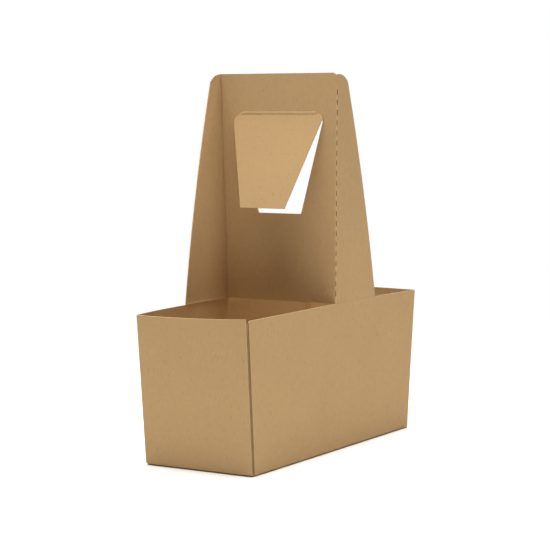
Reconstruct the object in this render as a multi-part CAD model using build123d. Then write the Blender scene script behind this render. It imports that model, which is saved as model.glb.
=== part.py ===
from build123d import *
import math
import os

# A two-cup carrier: one die-cut sheet of kraft board, folded and glued into an open box with an upright
# handle.
# X runs along the long walls, Y across them and Z up. The origin is the middle of the underside.
# Each long wall runs on upwards as a wing, and each wing folds into one layer of the handle panel.
# The near wall (-Y) carries the layer on the front side (-X), the far wall (+Y) the one on the back side.

# Board and box, outside sizes in millimetres
board = 0.6
base_length = 198.0
base_width = 83.0
rim_length = 210.0
rim_width = 87.0
box_height = 98.5
fold_inside = 0.4

# Handle: its rise above the rim and the gap at each layer's free edge
handle_rise = 151.5
free_edge_gap = 0.7

# Wings beside the handle: widths at the rim and at the shoulder, how far the shoulder and the fold end below
# the top, and how far the slanted edge and the crown bow out from a straight line
wing_foot = 51.0
wing_shoulder = 13.2
shoulder_drop = 6.0
wing_drop = 0.6
edge_bow = 2.4
crown_bow = 1.4
shoulder_round = 3.0

# Hand hole, with the flap that was cut from it and swings out to the front, in degrees. The card swells into
# a bead along the hinge, which lies a little above it.
hole_drop = 26.4
hole_height = 66.5
hole_top_width = 72.2
hole_bottom_width = 33.4
hole_top_round = 6.2
hole_bottom_round = 1.2
flap_side_gap = 0.1
flap_bottom_gap = 1.3
flap_swing = 18.9
hinge_bead = 1.0
bead_rise = 0.5

# Cut creases of the handle: slits part of the way through the board, and a notch in the top edge at the near
# fold
slit_length = 3.4
slit_depth = 0.45
slit_pitch = 6.6
slit_width = 0.4
slit_foot = 6.8
slit_head = 12.0
notch_width = 3.0
notch_drop = 1.5
score_radius = 0.5
score_depth = 0.15

# Glue tab behind the front wall, at the corner where the sheet's two ends meet
tab_width = 15.0
tab_slant = 4.0
tab_margin = 3.0
seam_setback = 0.7

# Floor: two long flaps meet along the middle, and two short flaps lie on them
short_flap = 40.0
flap_seam = 0.8

fold_outside = fold_inside + board
top_height = box_height + handle_rise
hinge_height = top_height - hole_drop
long_lean = (rim_width - base_width) / 2 / box_height
short_lean = (rim_length - base_length) / 2 / box_height
panel_front = -board
reach = rim_length + rim_width


def half_width(height):
    """Half the outside width of the long walls and their wings at a height."""
    return base_width / 2 + long_lean * height


def half_length(height):
    """Half the outside length between the short walls at a height."""
    return base_length / 2 + short_lean * height


def outline(plane, points, rounds=(), bows=()):
    """A face on a plane through corner points. Some corners are rounded: (corner number, radius).
    Some sides are arcs that bow out: (number of the side's first corner, rise of the arc)."""
    corners = [Vector(*point) for point in points]
    rises = dict(bows)
    sides = []
    for number, start in enumerate(corners):
        end = corners[(number + 1) % len(corners)]
        if number in rises:
            sides.append(SagittaArc(start, end, rises[number]))
        else:
            sides.append(Line(start, end))
    face = make_face(sides)
    for number, radius in rounds:
        corner = face.vertices().sort_by_distance(corners[number])[0]
        face = fillet(corner, radius)
    return plane * face


def along_x(points, rounds=()):
    """A bar with a YZ section, long enough to pass the whole carrier."""
    return extrude(outline(Plane.YZ, points, rounds), amount=reach, both=True)


def along_y(points, rounds=(), bows=()):
    """A bar with an XZ section, long enough to pass the whole carrier."""
    return extrude(outline(Plane.XZ, points, rounds, bows), amount=reach, both=True)


def turned(shape):
    """The same shape on the opposite side: half a turn about the carrier's middle."""
    return Rot(0, 0, 180) * shape


def long_sheet(front_end):
    """The near long wall with its floor flap and its wing; front_end is how far short its front end stops."""
    seam = flap_seam / 2
    section = along_x(
        [
            (-seam, 0),
            (-half_width(0), 0),
            (-half_width(top_height), top_height),
            (board - half_width(top_height), top_height),
            (board - half_width(board), board),
            (-seam, board),
        ],
        [(1, fold_outside), (4, fold_inside)],
    )
    wing_start = panel_front + fold_outside
    shape = along_y(
        [
            (front_end - half_length(0), 0),
            (front_end - half_length(box_height), box_height),
            (wing_start, box_height),
            (wing_start, top_height - wing_drop),
            (panel_front + wing_shoulder, top_height - shoulder_drop),
            (panel_front + wing_foot, box_height),
            (half_length(box_height) - fold_outside, box_height),
            (half_length(0) - fold_outside, 0),
        ],
        [(4, shoulder_round)],
        [(3, crown_bow), (4, edge_bow)],
    )
    return section & shape


def short_sheet():
    """The front short wall with its floor flap, between the corner folds."""
    section = along_y(
        [
            (short_flap - half_length(board), board),
            (-half_length(board), board),
            (-half_length(box_height), box_height),
            (board - half_length(box_height), box_height),
            (board - half_length(2 * board), 2 * board),
            (short_flap - half_length(board), 2 * board),
        ],
        [(1, fold_outside), (4, fold_inside)],
    )
    low = half_width(0) - fold_outside
    high = half_width(box_height) - fold_outside
    return section & along_x([(-low, 0), (-high, box_height), (high, box_height), (low, 0)])


def corner_ring(start, rise, x_sign, y_sign, x_lean, y_lean):
    """A folded strip of board round an upright corner; its fold centre rises from start and leans outwards."""
    ring = Circle(fold_outside) - Circle(fold_inside)
    middle = Pos(x_sign * fold_outside / 2, y_sign * fold_outside / 2)
    quarter = ring & (middle * Rectangle(fold_outside, fold_outside))
    path = Vector(x_sign * x_lean, y_sign * y_lean, 1) * rise
    return extrude(Pos(*start) * quarter, amount=path.length, dir=path)


def box_corner(x_sign, y_sign, inset=0.0):
    """The fold between a long wall and a short wall; inset sets it back along X, behind the front wall."""
    low = board + fold_outside
    x = x_sign * (half_length(low) - fold_outside - inset)
    y = y_sign * (half_width(low) - fold_outside)
    return corner_ring((x, y, low), box_height - low, x_sign, y_sign, short_lean, long_lean)


def front_slab(inset):
    """The leaning plane of the front wall as a bar of board thickness, set back by an inset."""
    return along_y(
        [
            (inset - half_length(0), 0),
            (inset - half_length(box_height), box_height),
            (inset + board - half_length(box_height), box_height),
            (inset + board - half_length(0), 0),
        ]
    )


def glue_seam():
    """The corner where the sheet's ends meet: the front wall's raw edge over the long wall's glue tab."""
    low = board + fold_outside
    raw_edge = front_slab(0) & along_x(
        [
            (seam_setback - half_width(low), low),
            (seam_setback - half_width(box_height), box_height),
            (fold_outside - half_width(box_height), box_height),
            (fold_outside - half_width(low), low),
        ]
    )
    tab = front_slab(board) & along_x(
        [
            (fold_outside - half_width(low), low),
            (fold_outside - half_width(box_height), box_height),
            (tab_width - half_width(box_height), box_height - tab_margin - tab_slant),
            (tab_width - half_width(low), low + tab_margin + tab_slant),
        ]
    )
    return raw_edge + box_corner(-1, -1, inset=board) + tab


def hand_hole(side_gap=0.0, bottom_gap=0.0):
    """The hole's outline on the YZ plane, drawn smaller by a gap at its sides and at its bottom."""
    side_slope = (hole_top_width - hole_bottom_width) / 2 / hole_height
    top = hole_top_width / 2 - side_gap
    bottom = hole_bottom_width / 2 - side_gap + side_slope * bottom_gap
    low = hinge_height - hole_height + bottom_gap
    return outline(
        Plane.YZ,
        [(-bottom, low), (-top, hinge_height), (top, hinge_height), (bottom, low)],
        [(0, hole_bottom_round), (1, hole_top_round), (2, hole_top_round), (3, hole_bottom_round)],
    )


def handle_layer():
    """The front layer of the handle panel with the fold that joins it to the near wing."""
    free_edge = board + free_edge_gap
    panel = outline(
        Plane.YZ,
        [
            (fold_outside - half_width(box_height), box_height),
            (fold_outside - half_width(top_height), top_height),
            (half_width(top_height) - free_edge, top_height),
            (half_width(box_height) - free_edge, box_height),
        ],
    )
    fold_start = (panel_front + fold_outside, fold_outside - half_width(box_height), box_height)
    fold = corner_ring(fold_start, handle_rise, -1, -1, 0, long_lean)
    return extrude(panel, amount=panel_front) + fold


def fold_cuts():
    """The slits along the near wing's fold and the score line at the wing's foot."""
    depth = 2 * ((math.sqrt(2) - 1) * fold_outside + slit_depth)
    count = int((handle_rise - slit_foot - slit_head) / slit_pitch) + 1
    lean_angle = math.degrees(math.atan(long_lean))
    cuts = []
    for number in range(count):
        height = box_height + slit_foot + number * slit_pitch
        place = Pos(panel_front, -half_width(height), height) * Rot(lean_angle, 0, 0) * Rot(0, 0, 45)
        cuts.append(place * Box(depth, slit_width, slit_length))
    score = Cylinder(score_radius, wing_foot)
    score_y = -half_width(box_height) - score_radius + score_depth
    score_x = panel_front + fold_outside + wing_foot / 2
    cuts.append(Pos(score_x, score_y, box_height) * Rot(0, 90, 0) * score)
    return cuts


def fold_notch():
    """The small notch in the handle's top edge at the near fold, through both layers of the panel."""
    edge = -half_width(top_height)
    section = outline(
        Plane.YZ,
        [
            (edge, top_height - wing_drop),
            (edge + fold_outside, top_height - notch_drop),
            (edge + notch_width, top_height),
            (edge, top_height),
        ],
    )
    return extrude(section, amount=fold_outside, both=True)


def hand_flap():
    """The cut-out of the hand hole, swung out to the front about its upper edge, with the crease's bead."""
    flat = extrude(hand_hole(flap_side_gap, flap_bottom_gap), amount=panel_front)
    hinge = Pos(panel_front, 0, hinge_height)
    flap = hinge * Rot(0, flap_swing, 0) * hinge.inverse() * flat
    side_angle = math.atan2(hole_height, (hole_top_width - hole_bottom_width) / 2)
    crease_length = hole_top_width - 2 * hole_top_round / math.tan(side_angle / 2)
    bead = Rot(90, 0, 0) * Cylinder(hinge_bead, crease_length)
    return flap + Pos(panel_front / 2, 0, hinge_height + bead_rise) * bead


def cup_carrier():
    """The whole carrier as one solid."""
    walls = long_sheet(board + fold_outside) + turned(long_sheet(fold_outside))
    walls += short_sheet()
    walls += turned(short_sheet())
    for x_sign, y_sign in ((-1, 1), (1, 1), (1, -1)):
        walls += box_corner(x_sign, y_sign)
    walls += glue_seam()
    handle = handle_layer() + turned(handle_layer())
    handle -= extrude(hand_hole(), amount=2 * board, both=True)
    carrier = walls + handle + hand_flap()
    cuts = fold_cuts()
    carrier -= cuts + [turned(cut) for cut in cuts] + [fold_notch()]
    return carrier


carrier = cup_carrier()
os.makedirs("parts", exist_ok=True)
export_step(carrier, "parts/cup_carrier.step")
print("solids", len(carrier.solids()), "volume", round(carrier.volume))
print("size", carrier.bounding_box().size)
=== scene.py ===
# %% [markdown]
# # A cardboard cup carrier
# The carrier is one sheet of brown kraft board that was cut, creased, folded and glued into an open box with
# a tall handle panel across its middle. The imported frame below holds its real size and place. This lesson
# folds the same sheet again as a fine mesh, gives it real thickness, and finishes it as kraft board.

# %% Load the frame
import math

import bmesh
import bpy
from mathutils import Matrix, Vector


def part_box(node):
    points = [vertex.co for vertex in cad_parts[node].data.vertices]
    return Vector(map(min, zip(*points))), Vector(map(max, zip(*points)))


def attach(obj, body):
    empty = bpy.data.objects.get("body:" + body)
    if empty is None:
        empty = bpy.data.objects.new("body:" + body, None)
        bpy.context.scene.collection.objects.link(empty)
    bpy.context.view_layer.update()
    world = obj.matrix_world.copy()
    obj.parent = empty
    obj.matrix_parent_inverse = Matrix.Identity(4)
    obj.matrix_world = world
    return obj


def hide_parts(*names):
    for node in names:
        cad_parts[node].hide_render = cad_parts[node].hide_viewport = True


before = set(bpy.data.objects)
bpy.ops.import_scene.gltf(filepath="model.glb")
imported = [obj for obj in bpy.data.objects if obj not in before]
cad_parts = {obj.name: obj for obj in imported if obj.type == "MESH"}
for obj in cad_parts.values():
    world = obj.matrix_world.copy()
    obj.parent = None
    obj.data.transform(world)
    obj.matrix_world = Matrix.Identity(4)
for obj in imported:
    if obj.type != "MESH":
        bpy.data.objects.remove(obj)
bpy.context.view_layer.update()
print("nodes in the frame:", sorted(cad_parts))

# %% [markdown]
# ## Sizes
# Blender counts in metres, and card is easier to think of in millimetres, so one value turns one into the
# other. The outer sizes come from the frame. The rest are the carrier's own: the board, the roundness of a
# fold, the rim, and the lean of the walls, which spread a little from the floor upwards.

# %% Sizes of the board and the box
MM = 0.001
box_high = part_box("cup_carrier")[1]
top_height = box_high.z
rim_height = 98.5 * MM
base_half_length = 99.0 * MM
base_half_width = 41.5 * MM
rim_half_width = 43.5 * MM
board = 0.6 * MM
fold_radius = 1.0 * MM
nearby = 0.01 * MM


def half_width(height):
    """Half the width across the long walls and their wings at a height."""
    return base_half_width + (rim_half_width - base_half_width) * height / rim_height


def half_length(height):
    """Half the length between the short walls at a height; it stays the same above the rim."""
    return base_half_length + (box_high.x - base_half_length) * min(height / rim_height, 1.0)


rim_x = half_length(rim_height)
rim_y = half_width(rim_height)
print(f"rim {2 * rim_x / MM:.1f} x {2 * rim_y / MM:.1f} mm, handle top at {top_height / MM:.1f} mm")

# %% [markdown]
# ## Three moves that fold a sheet
# A folded sheet needs only three moves. Choosing picks the edge to work on by its place. Running out extrudes
# that edge in even steps, which makes a flat panel with rows for later shaping, and a narrow first and last
# row, the shoulders of the folds beside it. Folding spins the edge round the crease, which makes the small
# round of a real fold. A bevel on a sharp corner would do too, but a spin gives the exact round, and the next
# panel starts from it.

# %% Choose, run out and fold
fold_steps = 5
shoulder = 1.5 * MM


def choose(kind, test):
    """Selects, in edit mode, only the elements whose corners all pass a test on their place."""
    bpy.ops.mesh.select_mode(type={"verts": "VERT", "edges": "EDGE", "faces": "FACE"}[kind])
    bpy.ops.mesh.select_all(action="DESELECT")
    data = bpy.context.edit_object.data
    mesh = bmesh.from_edit_mesh(data)
    chosen = 0
    for element in getattr(mesh, kind):
        corners = [element] if kind == "verts" else element.verts
        if all(test(corner.co) for corner in corners):
            element.select_set(True)
            chosen += 1
    mesh.select_flush_mode()
    bmesh.update_edit_mesh(data)
    return chosen


def extrude_by(direction, distance):
    """Extrudes what is chosen once."""
    bpy.ops.mesh.extrude_region_move(TRANSFORM_OT_translate={"value": Vector(direction) * distance})


def run_out(direction, distance, steps):
    """Extrudes the chosen edge into a panel of even steps between two narrow shoulders."""
    even = (distance - 2 * shoulder) / steps
    for length in [shoulder] + [even] * steps + [shoulder]:
        extrude_by(direction, length)


def fold(center, axis, degrees):
    """Turns the chosen edge round a crease, anticlockwise seen from the axis's tip; spin counts the other way."""
    bpy.ops.mesh.spin(steps=fold_steps, angle=-math.radians(degrees), center=center, axis=axis)


def same(value, target):
    """True where a coordinate is at a target."""
    return abs(value - target) < nearby


print("moves:", [move.__name__ for move in (choose, run_out, fold)])

# %% [markdown]
# ## The walls, in one strip
# On the real carrier the four walls are one strip, closed by a narrow glue tab behind the front wall. So the
# mesh starts with that tab, a grid standing on edge, and its edge is folded and run out round the box until
# it reaches the tab again. The box is folded upright here, with every corner square, because square folds are
# easy to place. The spread of the walls comes later, in one move.

# %% The glue tab
tab_width = 15.0 * MM
tab_fold = 0.6 * MM
seam_gap = 1.5 * MM
glue = 0.05 * MM
glued_x = -rim_x + board + glue
tab_x = glued_x + seam_gap
tab_y = -rim_y + tab_fold
tab_run = tab_width - tab_fold
tab_columns = 4
wall_rise = rim_height - fold_radius
wall_rows = 18

bpy.ops.object.select_all(action="DESELECT")
bpy.ops.mesh.primitive_grid_add(
    x_subdivisions=tab_columns,
    y_subdivisions=wall_rows,
    size=1,
    location=((tab_x + glued_x) / 2, tab_y + tab_run / 2, fold_radius + wall_rise / 2),
    rotation=(math.pi / 2, 0, math.pi / 2 + math.atan2(seam_gap, tab_run)),
)
carrier = bpy.context.active_object
carrier.name = "folded_carrier"
carrier.scale = (math.hypot(seam_gap, tab_run), wall_rise, 1)
bpy.ops.object.transform_apply(location=True, rotation=True, scale=True)
print("glue tab:", [round(side / MM, 2) for side in carrier.dimensions], "mm")

# %% [markdown]
# ## Three finishes
# Three finishes are needed: the kraft face, the raw cut edge, and a dark painted shade for the slits and the
# seam.
# The mesh gets all three now, as materials that are still plain, so that later steps can hand the right one
# to each new face. Every piece that is joined to the carrier gets them in the same order, because a face
# keeps only its finish's number.

# %% Name the finishes
kraft = bpy.data.materials.new("kraft_board")
raw_edge = bpy.data.materials.new("raw_board_edge")
slit_painted_shade = bpy.data.materials.new("slit_painted_shade")
finishes = (kraft, raw_edge, slit_painted_shade)


def dress(piece):
    """Gives a piece the three finishes in their order."""
    for finish in finishes:
        piece.data.materials.append(finish)


dress(carrier)
print("finishes:", [finish.name for finish in carrier.data.materials])

# %% [markdown]
# ## Round the box
# From the tab the strip runs along the near long wall, across the back, along the far long wall and across
# the front wall, whose raw edge stops just short of the corner that it is glued to. Each long wall is run out
# in three parts, so that a column of vertices stands where a wing will start and end. One long panel would do
# for the wall alone, but the wing has to grow out of it without a seam.

# %% The strip of walls
layer_gap = 0.02 * MM
panel_front = -(board + layer_gap)
wing_start = panel_front + fold_radius
wing_foot_width = 51.0 * MM
wing_end = panel_front + wing_foot_width
seam_setback = 0.7 * MM
back_x = rim_x - fold_radius
side_y = rim_y - fold_radius
columns_before_wing = 20
columns_in_wing = 10
columns_after_wing = 11
columns_in_short_wall = 16
upright = (0, 0, 1)

bpy.ops.object.mode_set(mode="EDIT")
choose("edges", lambda v: same(v.y, tab_y))
fold((tab_x + tab_fold, tab_y, 0), upright, 90)
run_out((1, 0, 0), wing_start - tab_x - tab_fold, columns_before_wing)
run_out((1, 0, 0), wing_end - wing_start, columns_in_wing)
run_out((1, 0, 0), back_x - wing_end, columns_after_wing)
fold((back_x, -side_y, 0), upright, 90)
run_out((0, 1, 0), 2 * side_y, columns_in_short_wall)
fold((back_x, side_y, 0), upright, 90)
run_out((-1, 0, 0), back_x + wing_start, columns_before_wing)
run_out((-1, 0, 0), wing_end - wing_start, columns_in_wing)
run_out((-1, 0, 0), back_x - wing_end, columns_after_wing)
fold((-back_x, side_y, 0), upright, 90)
run_out((0, -1, 0), 2 * side_y, columns_in_short_wall)
extrude_by((0, -1, 0), fold_radius - seam_setback)
bpy.ops.object.mode_set(mode="OBJECT")
print("strip of walls:", len(carrier.data.polygons), "faces")

# %% [markdown]
# ## The handle
# Each long wall runs on upwards as a wing, and each wing folds into one layer of the handle panel. The near
# wing and the far wing lie on opposite sides of the panel, so the far half is the near half after half a
# turn. One function makes both, with the turn as its argument. Copying the near half would do too, but then
# its seam with the wall would have to be sewn up.

# %% Wings and handle layers
score_half = 0.5 * MM
free_edge_gap = 0.95 * MM
free_edge = board + free_edge_gap
wing_rows = 44
layer_columns = 22


def raise_handle(turn):
    """Runs a wing up from a long wall and folds it into a handle layer; turn is 1 near and -1 far."""
    choose(
        "edges",
        lambda v: same(v.z, rim_height)
        and same(v.y, -turn * rim_y)
        and wing_start - nearby < turn * v.x < wing_end + nearby,
    )
    extrude_by(upright, score_half)
    run_out(upright, top_height - rim_height - score_half, wing_rows)
    choose(
        "edges",
        lambda v: same(v.y, -turn * rim_y) and same(v.x, turn * wing_start) and v.z > rim_height - nearby,
    )
    fold((turn * wing_start, -turn * side_y, 0), upright, -90)
    run_out((0, turn, 0), side_y + rim_y - free_edge, layer_columns)


bpy.ops.object.mode_set(mode="EDIT")
raise_handle(1)
raise_handle(-1)
bpy.ops.object.mode_set(mode="OBJECT")
print("with the handle:", len(carrier.data.polygons), "faces")

# %% [markdown]
# ## The tab's slanted ends
# A glue tab is cut back at both ends, so that it slips behind the wall. The bisect operator cuts the chosen
# faces with a plane. It could also throw away one side, but that would take a neighbour's faces with it where
# they share a corner, so the faces beyond the plane are chosen and deleted by themselves. The plane's
# direction has to have a length of 1. The first part of the fold beside the tab lies deep in the seam, where
# little light reaches, so it takes the darkest finish, the one for the inside of a slit.

# %% Trim the glue tab
tab_cut_back = 7.0 * MM
seam_depth = 0.45 * tab_fold


def cut_away(through, outwards, test):
    """Cuts the faces that pass a test along a plane, and deletes those that lie beyond it."""
    through = Vector(through)
    outwards = Vector(outwards).normalized()
    choose("faces", test)
    bpy.ops.mesh.bisect(plane_co=through, plane_no=outwards, threshold=nearby)
    beyond = choose("faces", lambda v: test(v) and (v - through).dot(outwards) > -2 * nearby)
    bpy.ops.mesh.delete(type="FACE")
    return beyond


def on_tab(corner):
    """True for a point of the glue tab."""
    return glued_x - nearby < corner.x < tab_x + nearby and corner.y > tab_y - nearby


bpy.ops.object.mode_set(mode="EDIT")
for edge_z, up in ((rim_height, 1), (fold_radius, -1)):
    beyond = cut_away((tab_x, tab_y, edge_z), (0, tab_cut_back, up * tab_run), on_tab)
# The faces deep in the seam take the slits' painted shade, a dark brown in place of the shade there.
choose("faces", lambda v: tab_x - nearby < v.x < tab_x + seam_depth and v.y < tab_y + nearby)
carrier.active_material_index = finishes.index(slit_painted_shade)
bpy.ops.object.material_slot_assign()
bpy.ops.object.mode_set(mode="OBJECT")
print(f"tab ends cut back by {tab_cut_back / MM:.0f} mm,", beyond, "faces from each")

# %% [markdown]
# ## The floor
# The floor is closed by flaps that fold in from the walls: two long ones meet along the middle, and two short
# ones lie on them. A sheet can't fold two ways at one point, so the real cut leaves a small notch at each
# corner. Here the lowest row of faces is removed at the corners and short walls, which leaves the same notch
# and lets the short flaps lie higher.

# %% Fold the floor flaps
short_flap = 40.0 * MM
flap_seam = 0.2 * MM
flap_rows = 8
short_fold = fold_radius + board + glue
tab_fold_end = tab_x + tab_fold

bpy.ops.object.mode_set(mode="EDIT")
bpy.ops.mesh.select_all(action="SELECT")
bpy.ops.mesh.bisect(plane_co=(0, 0, short_fold), plane_no=upright)
choose(
    "faces",
    lambda v: v.z < short_fold + nearby and (v.x > back_x - nearby or v.x < tab_fold_end + nearby),
)
bpy.ops.mesh.delete(type="FACE")
for side in (-1, 1):
    choose("edges", lambda v: same(v.z, fold_radius) and same(v.y, side * rim_y))
    fold((0, side * side_y, fold_radius), (1, 0, 0), -side * 90)
    run_out((0, -side, 0), side_y - flap_seam / 2, flap_rows)
    choose(
        "edges",
        lambda v: same(v.z, short_fold) and same(v.x, side * rim_x) and abs(v.y) < side_y + nearby,
    )
    fold((side * back_x, 0, short_fold), (0, 1, 0), side * 90)
    run_out((-side, 0, 0), short_flap - fold_radius, flap_rows)
bpy.ops.object.mode_set(mode="OBJECT")
print("with the floor:", len(carrier.data.polygons), "faces")

# %% [markdown]
# ## The spread of the walls
# The upright box is given its lean level by level: all vertices at one height are scaled about the middle
# until they fit the frame at that height. Above the rim only the width grows, because the wings lean and the
# handle panel stays upright.

# %% Spread the walls
sliver = 0.15 * MM

bpy.ops.object.mode_set(mode="EDIT")
levels = sorted({round(v.co.z, 6) for v in bmesh.from_edit_mesh(carrier.data).verts})
for level in levels:
    choose("verts", lambda v: same(v.z, level))
    spread = (half_length(level) / rim_x, half_width(level) / rim_y, 1)
    bpy.ops.transform.resize(value=spread, center_override=(0, 0, 0))
bpy.ops.mesh.select_all(action="SELECT")
bpy.ops.mesh.remove_doubles(threshold=sliver)
bpy.ops.mesh.normals_make_consistent(inside=False)
bpy.ops.object.mode_set(mode="OBJECT")
if min(carrier.data.polygons, key=lambda face: face.center.y).normal.y > 0:
    carrier.data.flip_normals()
print(len(levels), "levels spread")

# %% [markdown]
# ## The wings' outline
# A wing runs from a wide foot at the rim to a narrow shoulder, along an edge that bows out a little, and a
# short arc leads from the shoulder to the top of the fold. The grid was left square, so it is trimmed now.
# One bisect makes a straight cut, so a fan of bisects that touch an arc makes a bowed one. Only the wing's
# own faces are chosen, so nothing else is cut. The two wings of the real carrier differ a little, so each is
# trimmed with its own sizes.

# %% Trim the wings
crown_bow = 1.5 * MM
crown_cuts = 8
edge_bow = 2.4 * MM
edge_cuts = 10


def bowed_cuts(start, end, bow, count):
    """Points on an arc that bows out between two corners, each with its direction outwards."""
    chord = (end - start).normalized()
    outwards = Vector((-chord.z, 0, chord.x))
    half = (end - start).length / 2
    radius = (half * half + bow * bow) / (2 * bow)
    center = (start + end) / 2 + outwards * (bow - radius)
    sweep = math.asin(half / radius)
    cuts = []
    for number in range(count + 1):
        angle = sweep * (2 * number / count - 1)
        direction = outwards * math.cos(angle) + chord * math.sin(angle)
        cuts.append((center + direction * radius, direction))
    return cuts


def on_wing(corner, turn):
    """True for a point of one wing's flat panel."""
    flat = same(corner.y, -turn * half_width(corner.z))
    return flat and corner.z > rim_height - nearby and turn * corner.x > wing_start - nearby


def trim_wing(turn, fold_drop, shoulder_x, shoulder_drop, foot_x):
    """Cuts one wing round its crown and along its edge."""
    half_turn = Vector((turn, turn, 1))
    fold_top = Vector((wing_start, 0, top_height - fold_drop))
    wing_shoulder = Vector((shoulder_x, 0, top_height - shoulder_drop))
    wing_foot = Vector((foot_x, 0, rim_height))
    crown = bowed_cuts(fold_top, wing_shoulder, crown_bow, crown_cuts)
    edge = bowed_cuts(wing_shoulder, wing_foot, edge_bow, edge_cuts)
    for through, outwards in crown + edge:
        cut_away(through * half_turn, outwards * half_turn, lambda v: on_wing(v, turn))


bpy.ops.object.mode_set(mode="EDIT")
trim_wing(turn=1, fold_drop=0.9 * MM, shoulder_x=12.6 * MM, shoulder_drop=6.1 * MM, foot_x=wing_end)
trim_wing(turn=-1, fold_drop=0.3 * MM, shoulder_x=12.0 * MM, shoulder_drop=5.0 * MM, foot_x=wing_end - 0.6 * MM)
bpy.ops.object.mode_set(mode="OBJECT")
print("wings trimmed, sheet has", len(carrier.data.polygons), "faces")

# %% [markdown]
# ## Two small cuts
# The die leaves two marks that the eye notices. The long wall's upper corner is rounded where it folds into
# the glue tab, and a small notch through both layers of the panel meets the near fold at the top. Both are
# bisects again: the notch needs one plane that slants down to the fold and one that rises from there to the
# wing. Afterwards the slivers that so many cuts leave are merged away. Merging keeps one point of each close
# pair, and which one depends on their order, so the mesh is sorted first by its distance from the cursor, and
# every run gives the same points.

# %% Cut the seam's corner and the notch
seam_drop = 1.8 * MM
seam_run = 2.4 * MM
seam_bow = 0.5 * MM
seam_cuts = 4
corner_reach = 8 * shoulder
notch_drop = 1.5 * MM
notch_width = 3.0 * MM
notch_rise = 0.6 * MM
top_corner = -half_width(top_height)
fold_end = -side_y * half_width(top_height) / rim_y
sorting_place = (rim_x, 2 * rim_y, 3 * top_height)


def at_seam(corner):
    """True for a point of the glue fold, of the tab or of the long wall's first columns near the rim."""
    behind = -half_length(corner.z) + board / 2 < corner.x < tab_x + corner_reach
    return behind and corner.y < -rim_y + 2 * tab_width and corner.z > rim_height - corner_reach


def at_top(corner, low_y, high_y):
    """True for a point of the panel or of its fold near the top, between two places along the panel."""
    inside = low_y - nearby < corner.y < high_y + nearby
    return inside and abs(corner.x) < fold_radius and corner.z > top_height - corner_reach


seam_low = Vector((tab_x, 0, rim_height - seam_drop))
seam_high = Vector((tab_x + seam_run, 0, rim_height))
bpy.ops.object.mode_set(mode="EDIT")
for through, outwards in bowed_cuts(seam_low, seam_high, seam_bow, seam_cuts):
    cut_away(through, outwards, at_seam)
notch_bottom = (0, fold_end, top_height - notch_drop)
down_to_fold = (0, -notch_drop, top_corner + notch_width - fold_end)
cut_away(notch_bottom, down_to_fold, lambda v: at_top(v, fold_end, top_corner + 3 * notch_width))
up_to_wing = (0, notch_rise, fold_end - top_corner)
cut_away(notch_bottom, up_to_wing, lambda v: at_top(v, top_corner, fold_end + sliver))
bpy.context.scene.cursor.location = sorting_place
bpy.ops.mesh.select_all(action="SELECT")
bpy.ops.mesh.sort_elements(type="CURSOR_DISTANCE", elements={"VERT", "EDGE", "FACE"})
bpy.ops.mesh.remove_doubles(threshold=sliver)
bpy.ops.object.mode_set(mode="OBJECT")
print("after both cuts:", len(carrier.data.polygons), "faces")

# %% [markdown]
# ## A score line at the foot of each wing
# Wall and wing are one panel, but a blunt score runs across it at the rim and shows as a faint line. The row
# of vertices at the rim already has a narrow row above it, and a bisect cuts one below it. Then pushing the
# rim's row in by a fraction of the board makes a shallow groove.

# %% Press the score lines
score_depth = 0.15 * MM
top_row = wall_rise / wall_rows
score_reach = 1.2 * top_row


def under_wing(corner, turn):
    """True for a point of the long wall's top row between the wing's fold and its foot."""
    flat = same(corner.y, -turn * half_width(corner.z))
    inside = wing_start - nearby < turn * corner.x < wing_end + nearby
    return flat and inside and rim_height - score_reach < corner.z < rim_height + nearby


bpy.ops.object.mode_set(mode="EDIT")
for turn in (1, -1):
    choose("faces", lambda v: under_wing(v, turn))
    bpy.ops.mesh.bisect(plane_co=(0, 0, rim_height - score_half), plane_no=upright)
    pressed = choose(
        "verts",
        lambda v: same(v.z, rim_height)
        and same(v.y, -turn * rim_y)
        and wing_start + nearby < turn * v.x < wing_end - nearby,
    )
    bpy.ops.transform.translate(value=(0, turn * score_depth, 0))
bpy.ops.object.mode_set(mode="OBJECT")
print("score line points on each side:", pressed)

# %% [markdown]
# ## The thickness of the board
# So far the sheet is the carrier's outer face, without thickness. Solidify adds the board on the inside and
# closes its rim, which is the raw cut edge that shows all round real card, so the rim takes the second
# finish.

# %% Give the board its thickness


def apply_to(piece, modifier):
    """Applies a modifier to a piece."""
    bpy.ops.object.select_all(action="DESELECT")
    piece.select_set(True)
    bpy.context.view_layer.objects.active = piece
    bpy.ops.object.modifier_apply(modifier=modifier.name)


def thicken(piece):
    """Makes a flat sheet a board, with raw cut edges."""
    solid = piece.modifiers.new("board", "SOLIDIFY")
    solid.thickness = board
    solid.offset = -1
    solid.material_offset_rim = finishes.index(raw_edge)
    apply_to(piece, solid)


thicken(carrier)
print("board with thickness:", len(carrier.data.polygons), "faces")

# %% [markdown]
# ## The hand hole's outline
# The hand hole is cut on three sides, and the fourth stays as a hinge, so the hole and its flap share one
# outline. One function draws it for both: a plane, narrowed at its lower edge, with its corners rounded by a
# vertex bevel. The two upper corners of the real hole aren't quite alike, so each has its own round.

# %% Outline of the hand hole
hole_drop = 26.4 * MM
hinge_height = top_height - hole_drop
hole_height = 66.5 * MM
hole_top_width = 72.1 * MM
hole_bottom_width = 33.9 * MM
hole_aside = -0.25 * MM
near_top_round = 4.6 * MM
far_top_round = 6.2 * MM
top_segments = 10
bottom_segments = 4
side_slope = (hole_top_width - hole_bottom_width) / 2 / hole_height
side_angle = math.atan2(1, side_slope)


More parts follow.
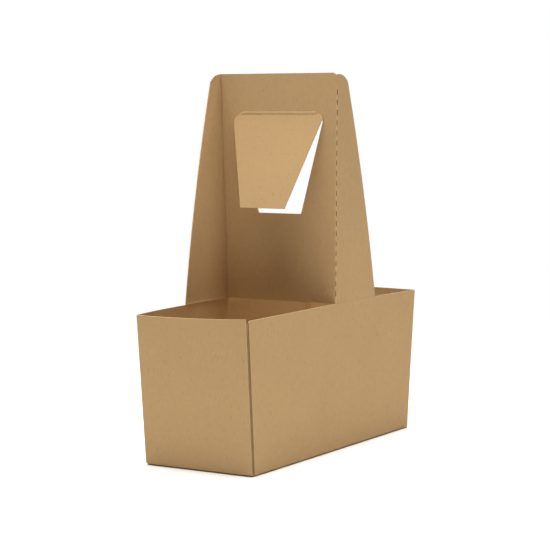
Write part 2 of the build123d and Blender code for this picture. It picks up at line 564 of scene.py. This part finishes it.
def hand_hole(name, bottom_gap, bottom_round):
    """The hole's outline on the front of the handle panel, shorter by a gap, with lower corners of one radius."""
    low_width = hole_bottom_width + 2 * side_slope * bottom_gap
    height = hole_height - bottom_gap
    middle = Vector((panel_front, hole_aside, hinge_height - height / 2))
    bpy.ops.object.select_all(action="DESELECT")
    bpy.ops.mesh.primitive_plane_add(
        size=1,
        location=middle,
        rotation=(math.pi / 2, 0, -math.pi / 2),
    )
    piece = bpy.context.active_object
    piece.name = name
    piece.scale = (hole_top_width, height, 1)
    bpy.ops.object.transform_apply(location=True, rotation=True, scale=True)
    bpy.ops.object.mode_set(mode="EDIT")
    choose("verts", lambda v: v.z < middle.z)
    bpy.ops.transform.resize(value=(1, low_width / hole_top_width, 1), center_override=middle)
    bottom_offset = bottom_round * math.tan(side_angle / 2)
    bpy.ops.mesh.bevel(affect="VERTICES", offset=bottom_offset, segments=bottom_segments)
    for side, top_round in ((-1, near_top_round), (1, far_top_round)):
        choose("verts", lambda v: v.z > middle.z and side * v.y > 0)
        top_offset = top_round / math.tan(side_angle / 2)
        bpy.ops.mesh.bevel(affect="VERTICES", offset=top_offset, segments=top_segments)
    bpy.ops.object.mode_set(mode="OBJECT")
    dress(piece)
    return piece


print(f"hand hole {hole_top_width / MM:.1f} mm wide at its top, {hole_height / MM:.1f} mm high")

# %% [markdown]
# ## The hole
# Extruded, the outline is a cutter that passes through both layers of the panel. A boolean is the right tool
# for a hole with a free outline, because the grid of the panel needn't follow it. The hole's walls are cut
# board, so the cutter carries the raw edge's finish, which the boolean hands on to the faces that it makes.

# %% Cut the hand hole
cutter_reach = 3.0 * MM
hole_bottom_round = 1.2 * MM


def combine(piece, other, operation):
    """Cuts another mesh out of a piece, or joins it on, and removes the other."""
    boolean = piece.modifiers.new("boolean", "BOOLEAN")
    boolean.operation = operation
    boolean.object = other
    boolean.solver = "EXACT"
    apply_to(piece, boolean)
    bpy.data.objects.remove(other)


def paint(piece, finish):
    """Gives every face of a piece one finish."""
    for face in piece.data.polygons:
        face.material_index = finishes.index(finish)


cutter = hand_hole("hole_cutter", 0.0, hole_bottom_round)
bpy.ops.object.mode_set(mode="EDIT")
bpy.ops.mesh.select_all(action="SELECT")
bpy.ops.transform.translate(value=(-cutter_reach, 0, 0))
extrude_by((1, 0, 0), 2 * cutter_reach)
bpy.ops.mesh.select_all(action="SELECT")
bpy.ops.mesh.normals_make_consistent(inside=False)
bpy.ops.object.mode_set(mode="OBJECT")
paint(cutter, raw_edge)
faces_before = len(carrier.data.polygons)
combine(carrier, cutter, "DIFFERENCE")
print("hand hole:", faces_before, "faces before,", len(carrier.data.polygons), "after")

# %% [markdown]
# ## The flap
# The flap is the same outline again, a little shorter, made a board and turned out to the front about the
# hinge. On the real carrier the cut ends below the upper corners, so the card isn't parted there. A level
# bisect marks where the cut ends, and the corners above it are moved outwards until they reach a little over
# the hole's.

# %% Swing out the flap
flap_bottom_gap = 1.3 * MM
flap_bottom_round = 0.3 * MM
flap_swing = math.radians(18.9)
uncut = 5.3 * MM
straight_top = 27.0 * MM
near_overlap = 0.5 * MM
far_overlap = 0.2 * MM
hinge = (panel_front, 0, hinge_height)

flap = hand_hole("hand_flap", flap_bottom_gap, flap_bottom_round)
bpy.ops.object.mode_set(mode="EDIT")
bpy.ops.mesh.select_all(action="SELECT")
bpy.ops.mesh.bisect(plane_co=(0, 0, hinge_height - uncut), plane_no=upright)
for side, overlap in ((-1, near_overlap), (1, far_overlap)):
    choose("verts", lambda v: v.z > hinge_height - uncut + nearby and side * v.y > straight_top)
    bpy.ops.transform.translate(value=(0, side * overlap, 0))
bpy.ops.object.mode_set(mode="OBJECT")
thicken(flap)
bpy.ops.object.mode_set(mode="EDIT")
bpy.ops.mesh.select_all(action="SELECT")
bpy.ops.transform.rotate(value=-flap_swing, orient_axis="Y", center_override=hinge)
bpy.ops.object.mode_set(mode="OBJECT")
print("flap reaches out to", round(min(v.co.x for v in flap.data.vertices) / MM, 1), "mm")

# %% [markdown]
# ## The hinge's bead
# Where card is creased, it swells into a small bead along the fold. It catches the light above the flap and
# leaves a dark line under it. A flattened circle run out along the hinge makes it, tilted nearly like the
# flap, and its far end is bent down in four short steps, each given in millimetres along and down, to meet
# the flap's corner. It also carries the flap.

# %% Add the bead and hang the flap
bead_half_height = 1.05 * MM
bead_half_depth = 0.28 * MM
bead_tilt = math.radians(14)
bead_sides = 24
bead_rise = 0.55 * MM
bead_start_y = -29.4 * MM
bead_start = (panel_front, bead_start_y, hinge_height + bead_rise)
bead_length = 54.0 * MM
bead_end = ((2.0, 0.1), (1.6, 0.3), (1.4, 0.6), (1.0, 0.8))

bpy.ops.object.select_all(action="DESELECT")
bpy.ops.mesh.primitive_circle_add(
    vertices=bead_sides,
    radius=1,
    fill_type="NGON",
    location=bead_start,
    rotation=(math.pi / 2, 0, 0),
)
bead = bpy.context.active_object
bead.scale = (bead_half_depth, bead_half_height, 1)
bpy.ops.object.transform_apply(location=True, rotation=True, scale=True)
bpy.ops.object.mode_set(mode="EDIT")
bpy.ops.mesh.select_all(action="SELECT")
bpy.ops.transform.rotate(value=-bead_tilt, orient_axis="Y", center_override=bead_start)
extrude_by((0, 1, 0), bead_length)
for along, down in bead_end:
    extrude_by((0, along, -down), MM)
bpy.ops.mesh.select_all(action="SELECT")
bpy.ops.mesh.normals_make_consistent(inside=False)
bpy.ops.object.mode_set(mode="OBJECT")
dress(bead)
combine(flap, bead, "UNION")
combine(carrier, flap, "UNION")
print("carrier with its flap:", len(carrier.data.polygons), "faces")

# %% [markdown]
# ## The cut creases of the handle
# The handle's folds are helped by a row of short slits, pressed most of the way through the board, which show
# as dark dashes. One slit is a thin block across the fold. An array repeats it along the fold, and half a
# turn copies the row to the other fold.

# %% Cut the slits
slit_length = 3.4 * MM
slit_pitch = 6.6 * MM
slit_width = 0.55 * MM
slit_count = 21
groove = 0.56 * MM
slit_depth = 2 * ((math.sqrt(2) - 1) * fold_radius + groove)
slit_foot = 6.8 * MM
first_slit = rim_height + slit_foot

bpy.ops.object.select_all(action="DESELECT")
bpy.ops.mesh.primitive_cube_add(
    size=1,
    location=(panel_front, -half_width(first_slit), first_slit),
    rotation=(0, 0, math.pi / 4),
)
slits = bpy.context.active_object
slits.name = "slit_cutter"
slits.scale = (slit_depth, slit_width, slit_length)
bpy.ops.object.transform_apply(location=True, rotation=True, scale=True)
row = slits.modifiers.new("row", "ARRAY")
row.count = slit_count
row.use_relative_offset = False
row.use_constant_offset = True
row.constant_offset_displace = (0, half_width(0) - half_width(slit_pitch), slit_pitch)
apply_to(slits, row)
bpy.ops.object.mode_set(mode="EDIT")
bpy.ops.mesh.select_all(action="SELECT")
bpy.ops.mesh.duplicate()
bpy.ops.transform.rotate(value=math.pi, orient_axis="Z", center_override=(0, 0, 0))
bpy.ops.object.mode_set(mode="OBJECT")
dress(slits)
# The slit walls take the painted shade finish, a dark brown in place of the shade inside a narrow cut.
paint(slits, slit_painted_shade)
combine(carrier, slits, "DIFFERENCE")
print(slit_count, "slits on each fold, carrier has", len(carrier.data.polygons), "faces")

# %% [markdown]
# ## Paler crests: wear and painted highlight
# Between the slits the crest of the fold is paler than the panels beside it. Part of that is real: the fold
# stretches and tears the board's outer fibres. Part is a painted highlight, standing in for the light that the
# rounded crest catches from the camera's side. A named attribute keeps one number for each vertex: 1 on the
# crest of the two handle folds and 0 elsewhere. The finish reads it later. Painting by hand would do too, but a
# rule on the place is exact.

# %% Mark the crests
crest_margin = 0.05 * MM
last_slit = first_slit + (slit_count - 1) * slit_pitch


def on_crest(corner):
    """1 for a point on the outer round of a handle fold, as far up as its slits go, and 0 elsewhere."""
    turn = 1 if corner.y < 0 else -1
    fold_depth = fold_radius * half_width(corner.z) / rim_y
    before_wing = wing_start - turn * corner.x
    before_panel = fold_depth - half_width(corner.z) - turn * corner.y
    inside = min(before_wing, before_panel) > crest_margin and rim_height < corner.z < last_slit + slit_length
    return float(inside and math.hypot(before_wing, before_panel) > fold_radius - board / 2)


crest = carrier.data.attributes.new("crest", "FLOAT", "POINT")
crest.data.foreach_set("value", [on_crest(vertex.co) for vertex in carrier.data.vertices])
print("points on the crests:", int(sum(point.value for point in crest.data)))

# %% [markdown]
# ## Settling
# A carrier that was folded and glued from card never keeps dead flat walls. At the rim's front corners the
# long walls are drawn in a little, and at the back corners they are pushed out and sag. The front wall was
# glued on a little askew: its rim is high at the seam and low beyond. All walls bow out by a fraction of a
# millimetre. These moves are smooth functions of the place, so they are made on the vertices themselves.

# %% Settle the walls
front_pull = 1.1 * MM
back_push = 1.5 * MM
back_sag = 1.0 * MM
wall_bow = 0.4 * MM
front_low = 0.8 * MM
front_rise = 2.2 * MM
front_lowest = 0.6


def askew(x, y, z):
    """How far the front wall's rim is lifted at a place; at the seam the wall behind it stays."""
    on_front = x < -half_length(z) + board + glue / 2
    if x > 0 or (y < 0 and not on_front):
        return 0.0
    from_lowest = (front_lowest - y / rim_y) / (front_lowest + 1)
    return front_rise * from_lowest**2 - front_low


def settled(point):
    """Where a point of the folded sheet comes to rest."""
    x, y, z = point
    rise = min(max(z / rim_height, 0.0), 1.0)
    along = min(abs(x) / rim_x, 1.0)
    across = min(abs(y) / rim_y, 1.0)
    at_short_wall = along**8
    at_long_wall = across**4
    belly = wall_bow * math.sin(math.pi * rise)
    corner = rise * along * along
    push = back_push if x > 0 else -front_pull
    y_moved = y * (1 + push / rim_y * corner) + math.copysign(belly * at_long_wall * (1 - along * along), y)
    x_moved = x + math.copysign(belly * at_short_wall * (1 - across * across), x)
    sag = back_sag * corner * (1 - y / rim_y) / 2 if x > 0 else 0.0
    z_moved = z - sag + askew(x, y, z) * rise * at_short_wall
    return Vector((x_moved, y_moved, min(z_moved, top_height)))


for vertex in carrier.data.vertices:
    vertex.co = settled(vertex.co)
carrier.data.update()
print("rim corners drawn in by", round(front_pull / MM, 1), "and pushed out by", round(back_push / MM, 1), "mm")

# %% [markdown]
# ## Four shader helpers
# A material is a tree of nodes. By hand they are dragged in and joined one by one. Four small functions do
# the same: one adds any node and joins its inputs, and the others add the three kinds that board needs, a
# noise, a stretch of values and a mix of two colours.

# %% Helpers for materials


def add_node(tree, kind, inputs, **settings):
    """Adds a shader node and fills its inputs with constants or with links from other nodes."""
    made = tree.nodes.new("ShaderNode" + kind)
    for name, value in settings.items():
        setattr(made, name, value)
    for name, value in inputs.items():
        if isinstance(value, bpy.types.NodeSocket):
            tree.links.new(value, made.inputs[name])
        else:
            made.inputs[name].default_value = value
    return made


def noise(tree, place, size, detail):
    """Noise from 0 to 1 with spots of about one size."""
    return add_node(tree, "TexNoise", {"Vector": place, "Scale": 1 / size, "Detail": detail}).outputs["Fac"]


def ramp(tree, value, low, high, start, end):
    """A value's stretch from low to high, turned into start to end."""
    inputs = {"Value": value, "From Min": low, "From Max": high, "To Min": start, "To Max": end}
    return add_node(tree, "MapRange", inputs).outputs["Result"]


def blend(tree, share, first, second):
    """Two colours mixed by a share of the second."""
    return add_node(tree, "Mix", {0: share, 6: first, 7: second}, data_type="RGBA").outputs[2]


print("helpers:", [helper.__name__ for helper in (add_node, noise, ramp, blend)])

# %% [markdown]
# ## Kraft board
# Kraft board is brown because its pulp isn't bleached. Seen close it is a felt of fibres: slightly cloudy
# where the pulp lay thicker, with dark specks of bark and a few pale fibres, drawn out along the way the
# board ran through the mill. A photo of board would do too, but it would have to be unwrapped and would
# repeat. Noise textures of a few sizes give all of these, and Object coordinates hold them to the part. One
# function makes the finish, because the board's other surfaces are variants of it.

# %% Kraft board
cloud_size = 40 * MM
mottle_size = 4 * MM
grain_size = 0.35 * MM
fibre_stretch = 4
darkest_shade = 0.88
cloud_strength = 0.09
mottle_strength = 0.08
grain_strength = 0.07
speck_share = 0.4
relief_height = 0.05 * MM
relief_strength = 0.35
sheen = 0.2


def kraft_finish(finish, color, dark, pale, fibre_size, wear_and_highlight_share):
    """Makes a material unbleached board with fibres of one size, paler on the folds' crests by a share, for wear
    and a painted highlight.
    """
    finish.use_nodes = True
    tree = finish.node_tree
    shader = tree.nodes["Principled BSDF"]
    place = add_node(tree, "TexCoord", {}).outputs["Object"]
    drawn_out = add_node(tree, "Mapping", {"Vector": place, "Scale": (1, 1, 1 / fibre_stretch)}).outputs["Vector"]
    cloud = noise(tree, place, cloud_size, detail=1.0)
    mottle = noise(tree, place, mottle_size, detail=3.0)
    fibres = noise(tree, drawn_out, fibre_size, detail=2.0)
    grain = noise(tree, place, grain_size, detail=2.0)
    # The crest attribute lightens the folds' crests: partly real wear, partly a painted highlight.
    crest_wear_and_highlight = add_node(tree, "Attribute", {}, attribute_name=crest.name).outputs["Fac"]

    shade = darkest_shade
    spots = ((cloud, cloud_strength), (mottle, mottle_strength), (grain, grain_strength), (crest_wear_and_highlight, wear_and_highlight_share))
    for spot, strength in spots:
        shade = add_node(tree, "Math", {0: spot, 1: strength, 2: shade}, operation="MULTIPLY_ADD").outputs[0]
    bark = ramp(tree, fibres, low=0.37, high=0.27, start=0.0, end=speck_share)
    pale_fibres = ramp(tree, fibres, low=0.64, high=0.76, start=0.0, end=speck_share)
    felt = blend(tree, pale_fibres, blend(tree, bark, color, dark), pale)
    shaded = add_node(tree, "HueSaturation", {"Color": felt, "Value": shade})
    tree.links.new(shaded.outputs["Color"], shader.inputs["Base Color"])

    relief = add_node(tree, "Math", {0: fibres, 1: grain}, operation="ADD").outputs[0]
    bump = add_node(tree, "Bump", {"Height": relief, "Strength": relief_strength, "Distance": relief_height})
    tree.links.new(bump.outputs["Normal"], shader.inputs["Normal"])
    roughness = ramp(tree, fibres, low=0.3, high=0.7, start=0.95, end=0.84)
    tree.links.new(roughness, shader.inputs["Roughness"])
    shader.inputs["Specular IOR Level"].default_value = sheen


kraft_finish(
    kraft,
    color=(0.515, 0.331, 0.155, 1),
    dark=(0.27, 0.155, 0.065, 1),
    pale=(0.62, 0.45, 0.26, 1),
    fibre_size=0.8 * MM,
    wear_and_highlight_share=0.24,
)
print("kraft face:", len(kraft.node_tree.nodes), "nodes")

# %% [markdown]
# ## Raw edges and slits
# The raw cut edge is the same pulp seen end on, a little paler and with finer fibres. The slits and the seam get
# painted shade: a real slit is too narrow for light to reach in, so its walls are given a dark kraft colour that
# stands in for that shade. So both are kraft board in other colours. Neither gets the crests' paling.

# %% Raw edges and slits
kraft_finish(
    raw_edge,
    color=(0.56, 0.39, 0.21, 1),
    dark=(0.36, 0.22, 0.11, 1),
    pale=(0.68, 0.52, 0.33, 1),
    fibre_size=0.4 * MM,
    wear_and_highlight_share=0.0,
)
# Painted shade: kraft darkened to stand in for the shade inside the slits and deep in the seam.
kraft_finish(
    slit_painted_shade,
    color=(0.26, 0.16, 0.07, 1),
    dark=(0.18, 0.10, 0.045, 1),
    pale=(0.32, 0.21, 0.11, 1),
    fibre_size=0.4 * MM,
    wear_and_highlight_share=0.0,
)
print("nodes in each finish:", [len(finish.node_tree.nodes) for finish in finishes])

# %% [markdown]
# ## Into the frame
# Smooth shading with an angle limit rounds the folds and leaves cut edges sharp. Then the piece is hung on
# the part's only body, and the imported node is hidden, so that the piece stands in for it.

# %% Hand over to the frame
smooth_angle = math.radians(22)

bpy.ops.object.select_all(action="DESELECT")
carrier.select_set(True)
bpy.context.view_layer.objects.active = carrier
bpy.ops.object.shade_smooth_by_angle(angle=smooth_angle)
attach(carrier, "root")
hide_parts("cup_carrier")
print(carrier.name, "stands in for cup_carrier")

# %% [markdown]
# ## The camera
# The camera stands where the photo was taken from: in front and to one side, about as high as the handle's
# top. Its lens, its turn and its distance were fitted to the corners of the box and of the handle. The view
# is given as angles round the carrier, which are easy to read, and turned into the camera's three axes.

# %% Camera
lens_in_pixels = 1952.8
picture_width = 550
sensor_width = 36.0
view_azimuth = math.radians(-57.05)
view_elevation = math.radians(5.849)
view_roll = math.radians(-0.745)
view_distance = 1307.9 * MM
aim_height = 115.7 * MM
aim_aside = -3.65 * MM

right = Vector((math.cos(view_azimuth), math.sin(view_azimuth), 0))
back = Vector(
    (
        math.sin(view_azimuth) * math.cos(view_elevation),
        -math.cos(view_azimuth) * math.cos(view_elevation),
        math.sin(view_elevation),
    )
)
camera_data = bpy.data.cameras.new("camera")
camera_data.sensor_width = sensor_width
camera_data.lens = lens_in_pixels / picture_width * sensor_width
camera = bpy.data.objects.new("camera", camera_data)
bpy.context.collection.objects.link(camera)
turned_right = Matrix.Rotation(view_roll, 3, back) @ right
axes = Matrix((turned_right, back.cross(turned_right), back)).transposed()
camera_place = Vector((0, 0, aim_height)) + right * aim_aside + back * view_distance
camera.matrix_world = Matrix.Translation(camera_place) @ axes.to_4x4()
bpy.context.scene.camera = camera
print("camera at", [round(part, 3) for part in camera_place], "lens", round(camera_data.lens, 2))

# %% [markdown]
# ## The studio floor
# The photo shows the carrier on plain white. A pale floor takes the shadow and throws light back at the
# walls, and it runs out to pure white away from the carrier, so that no horizon shows. A plain white floor
# would do too, but it would throw back too much light. So its finish asks what each ray is for: rays from the
# camera see a paler floor than the one that light bounces off.

# %% Studio floor
bpy.context.scene.view_settings.view_transform = "Standard"
white = (1, 1, 1, 1)
seen_grey = (0.95, 0.95, 0.95, 1)
bounce_grey = (0.88, 0.88, 0.88, 1)
floor_size = 8.0
floor_gap = 0.05 * MM
fade_start = 0.25
fade_end = 0.75


def seen_directly(tree):
    """1 for rays from the camera, off mirrors and through glass, and 0 for light that bounces."""
    path = add_node(tree, "LightPath", {}).outputs
    mirrored = add_node(tree, "Math", {0: path["Is Glossy Ray"], 1: path["Is Transmission Ray"]}).outputs[0]
    return add_node(tree, "Math", {0: path["Is Camera Ray"], 1: mirrored}, use_clamp=True).outputs[0]


bpy.ops.object.select_all(action="DESELECT")
bpy.ops.mesh.primitive_plane_add(size=floor_size, location=(0, 0, 0))
floor = bpy.context.active_object
floor.name = "floor"
bpy.ops.object.mode_set(mode="EDIT")
bpy.ops.transform.translate(value=(0, 0, -floor_gap))
bpy.ops.object.mode_set(mode="OBJECT")
floor_finish = bpy.data.materials.new("pale_floor")
floor_finish.use_nodes = True
tree = floor_finish.node_tree
floor_shader = tree.nodes["Principled BSDF"]
floor_shader.inputs["Roughness"].default_value = 1.0
floor_shader.inputs["Specular IOR Level"].default_value = 0.0
direct = seen_directly(tree)
tree.links.new(blend(tree, direct, bounce_grey, seen_grey), floor_shader.inputs["Base Color"])
floor_place = add_node(tree, "TexCoord", {}).outputs["Object"]
away = add_node(tree, "VectorMath", {0: floor_place}, operation="LENGTH").outputs["Value"]
far_off = ramp(tree, away, fade_start, fade_end, start=0.0, end=1.0)
open_floor = add_node(tree, "Math", {0: far_off, 1: direct}, operation="MULTIPLY").outputs[0]
glow = add_node(tree, "Emission", {"Color": white, "Strength": 1.0}).outputs[0]
mixed = add_node(tree, "MixShader", {0: open_floor, 1: floor_shader.outputs[0], 2: glow}).outputs[0]
tree.links.new(mixed, tree.nodes["Material Output"].inputs["Surface"])
floor.data.materials.append(floor_finish)
print("floor:", [round(side, 2) for side in floor.dimensions], "m")

# %% [markdown]
# ## Background and light
# The carrier is lit softly from above, so its top edges and the flap are brightest and no hard shadow falls.
# A broad lamp straight above gives most of the light, and a weak one above the front adds a little to the
# flap. The world is a faint dome for light that bounces and plain white for rays that come straight from the
# camera. The powers were chosen by comparing how bright each wall, the panel and the flap are in the render
# and in the photo.

# %% World and lamps
dome_strength = 0.12
light_target = Vector((0, 0, 0.12))


def add_lamp(name, place, size, power):
    """Adds a square lamp that faces the carrier, with its size in metres and its power in watts."""
    data = bpy.data.lights.new(name, "AREA")
    data.size = size
    data.energy = power
    lamp = bpy.data.objects.new(name, data)
    bpy.context.collection.objects.link(lamp)
    lamp.location = place
    lamp.rotation_euler = (light_target - Vector(place)).to_track_quat("-Z", "Y").to_euler()
    return lamp


world = bpy.data.worlds.new("studio")
bpy.context.scene.world = world
world.use_nodes = True
tree = world.node_tree
tree.nodes.clear()
dome = add_node(tree, "Background", {"Color": white, "Strength": dome_strength}).outputs[0]
backdrop = add_node(tree, "Background", {"Color": white, "Strength": 1.0}).outputs[0]
sky = add_node(tree, "MixShader", {0: seen_directly(tree), 1: dome, 2: backdrop}).outputs[0]
add_node(tree, "OutputWorld", {"Surface": sky})
top_lamp = add_lamp("top", place=(0.0, 0.0, 1.5), size=1.2, power=45.0)
front_lamp = add_lamp("front", place=(-0.45, 0.1, 1.35), size=1.0, power=1.0)
print("dome", dome_strength, "and lamps", [lamp.name for lamp in (top_lamp, front_lamp)])
